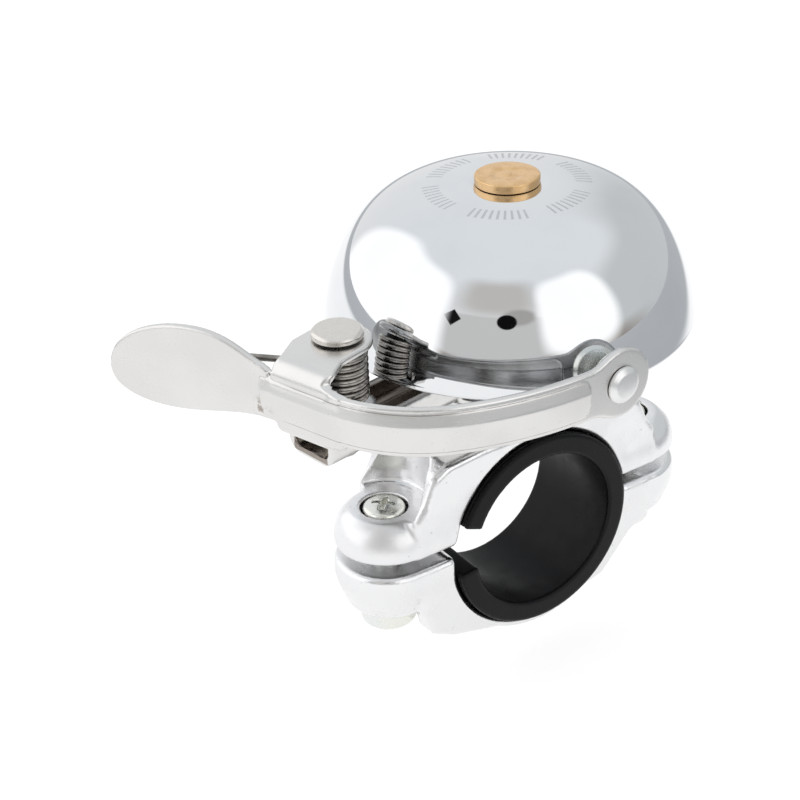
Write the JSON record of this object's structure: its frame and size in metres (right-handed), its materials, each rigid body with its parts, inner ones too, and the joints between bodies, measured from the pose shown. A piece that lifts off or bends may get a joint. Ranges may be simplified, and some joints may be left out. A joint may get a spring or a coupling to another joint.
{
  "type": "bicycle bell",
  "caption": "Bicycle bell with a polished domed gong on a two-piece handlebar clamp, rung by a spring-loaded thumb lever with a riveted striker.",
  "frame": {"origin": "centre of the handlebar bore, midway between the clamp's two side faces", "axes": "+X along the handlebar, +Z along the dome's axis from the handlebar up to the crown, +Y across the handlebar, away from the thumb lever's pivot"},
  "size_m": [0.0595, 0.0866, 0.073],
  "materials": {
    "polished_chrome": "mirror-bright plating, spotless",
    "turned_brass": "fine turned rings, bright",
    "stainless_sheet": "satin, tumbled, with fine scratches",
    "nickel_rivet": "nickel plating, lightly turned",
    "spring_steel": "dark drawn wire",
    "cast_aluminium": "cast and barrel-polished, small pits",
    "zinc_plate": "bright zinc plating with a faint yellow-green tint",
    "black_plastic": "matte, scuffed",
    "fibre": "pressed fibre"
  },
  "bodies": {
    "handlebar_clamp": {"clamp_upper": "cast_aluminium", "handlebar_shim": "black_plastic", "clamp_screw_near": "zinc_plate", "screw_spring_washer_near": "zinc_plate", "clamp_screw_far": "zinc_plate", "screw_spring_washer_far": "zinc_plate", "centre_bolt": "zinc_plate"},
    "lower_clamp_half": {"clamp_lower": "cast_aluminium", "clamp_cap_nut_near": "zinc_plate", "clamp_cap_nut_far": "zinc_plate"},
    "bell_head": {"base_bracket": "stainless_sheet", "base_washer": "zinc_plate", "base_hex_nut": "zinc_plate", "dome_standoff": "zinc_plate", "dome_fibre_washer": "fibre", "dome": "polished_chrome", "dome_nut": "turned_brass", "pivot_rivet": "nickel_rivet", "pivot_spacer": "zinc_plate", "spring_bush": "black_plastic", "return_spring": "spring_steel"},
    "lever_arm": {"lever": "stainless_sheet", "striker_rivet": "zinc_plate", "striker_disc": "zinc_plate"}
  },
  "joints": [
    {"name": "lever_pivot", "type": "hinge", "parent": "bell_head", "child": "lever_arm", "pos_m": [0.0053, -0.0325, 0.0366], "axis": [0, 0, 1], "range_deg": [-25, 1.4], "stiffness_Nm_per_rad": 0.1, "deforming": ["return_spring"]},
    {"name": "bell_swivel", "type": "hinge", "parent": "handlebar_clamp", "child": "bell_head", "pos_m": [0, 0, 0.0256], "axis": [0, 0, 1], "continuous": true},
    {"name": "clamp_opening", "type": "slide", "parent": "handlebar_clamp", "child": "lower_clamp_half", "axis": [0, 0, -1], "range_m": [0, 0.002]}
  ]
}
